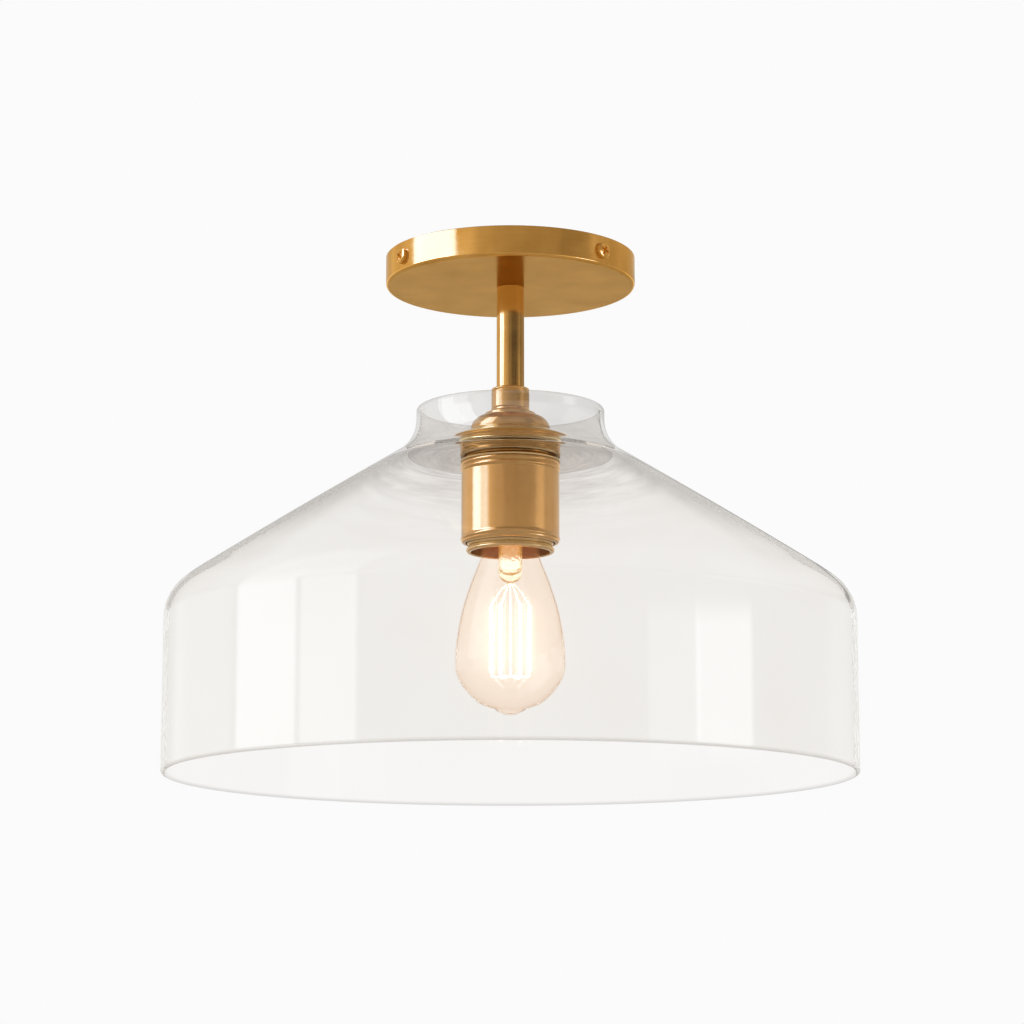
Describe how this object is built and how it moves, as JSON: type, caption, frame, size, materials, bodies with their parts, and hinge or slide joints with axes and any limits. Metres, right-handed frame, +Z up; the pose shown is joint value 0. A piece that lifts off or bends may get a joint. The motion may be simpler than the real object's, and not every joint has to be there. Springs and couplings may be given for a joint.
{
  "type": "semi-flush ceiling light",
  "caption": "Semi-flush ceiling light: shallow brass canopy, short stem, screw-base lamp holder with a screw-on skirt that clamps a clear glass dome, and a clear filament bulb.",
  "frame": {"origin": "centre of the ceiling plane, on the axis of the stem, the glass and the bulb", "axes": "+Z up into the ceiling, -Y towards the viewer, +X to the viewer's right"},
  "size_m": [0.356, 0.356, 0.2733],
  "materials": {
    "brushed_brass": "warm brushed brass, satin, with a polished canopy underside",
    "zinc_steel": "zinc plated, satin",
    "clear_glass": "clear, fire-polished rims",
    "gasket": "translucent silicone",
    "porcelain": "glazed porcelain",
    "contact_brass": "bright brass",
    "green_screw": "green passivated steel",
    "black_lead": "black insulation",
    "white_lead": "white insulation",
    "green_lead": "green insulation",
    "wire_nut_plastic": "orange moulded plastic",
    "bulb_glass": "clear with a light amber tint",
    "mount_glass": "clear",
    "insulator": "black vitrified glass",
    "solder": "dull solder",
    "filament": "warm white light strips",
    "support_wire": "drawn wire"
  },
  "bodies": {
    "fixture": {"mounting_plate": "zinc_steel", "ground_screw": "green_screw", "canopy": "brushed_brass", "canopy_screws": "brushed_brass", "stem_pipe": "zinc_steel", "canopy_washer": "zinc_steel", "canopy_nut": "zinc_steel", "stem_tube": "brushed_brass", "collar": "brushed_brass", "socket_cap": "brushed_brass", "shade_flange": "brushed_brass", "upper_gasket": "gasket", "inner_sleeve": "brushed_brass", "sleeve_thread": "brushed_brass", "sleeve_washer": "zinc_steel", "sleeve_nut": "zinc_steel", "holder_body": "porcelain", "holder_screws": "zinc_steel", "screw_shell": "contact_brass", "shell_contact": "contact_brass", "centre_contact": "contact_brass", "terminal_screws": "contact_brass", "hot_lead": "black_lead", "neutral_lead": "white_lead", "ground_lead": "green_lead", "wire_nuts": "wire_nut_plastic"},
    "shade": {"glass_shade": "clear_glass", "lower_gasket": "gasket"},
    "skirt": {"skirt": "brushed_brass", "skirt_thread": "brushed_brass"},
    "bulb_slide": {"bulb_contact": "solder"},
    "bulb": {"bulb_envelope": "bulb_glass", "bulb_base": "contact_brass", "bulb_insulator": "insulator", "bulb_mount": "mount_glass", "bulb_filaments": "filament", "bulb_supports": "support_wire"}
  },
  "joints": [
    {"name": "shade_drop", "type": "slide", "parent": "fixture", "child": "shade", "axis": [0, 0, -1], "range_m": [0, 0.012]},
    {"name": "skirt_turn", "type": "hinge", "parent": "shade", "child": "skirt", "pos_m": [0, 0, 0], "axis": [0, 0, -1], "range_deg": [0, 1440]},
    {"name": "bulb_travel", "type": "slide", "parent": "fixture", "child": "bulb_slide", "axis": [0, 0, -1], "range_m": [0, 0.02177]},
    {"name": "bulb_turn", "type": "hinge", "parent": "bulb_slide", "child": "bulb", "pos_m": [0, 0, 0], "axis": [0, 0, -1], "range_deg": [0, 2160]}
  ],
  "couplings": [
    {"joint": "skirt_turn", "follows": "shade_drop", "rad_per_m": 2094.4},
    {"joint": "bulb_turn", "follows": "bulb_travel", "rad_per_m": 1731.4}
  ]
}
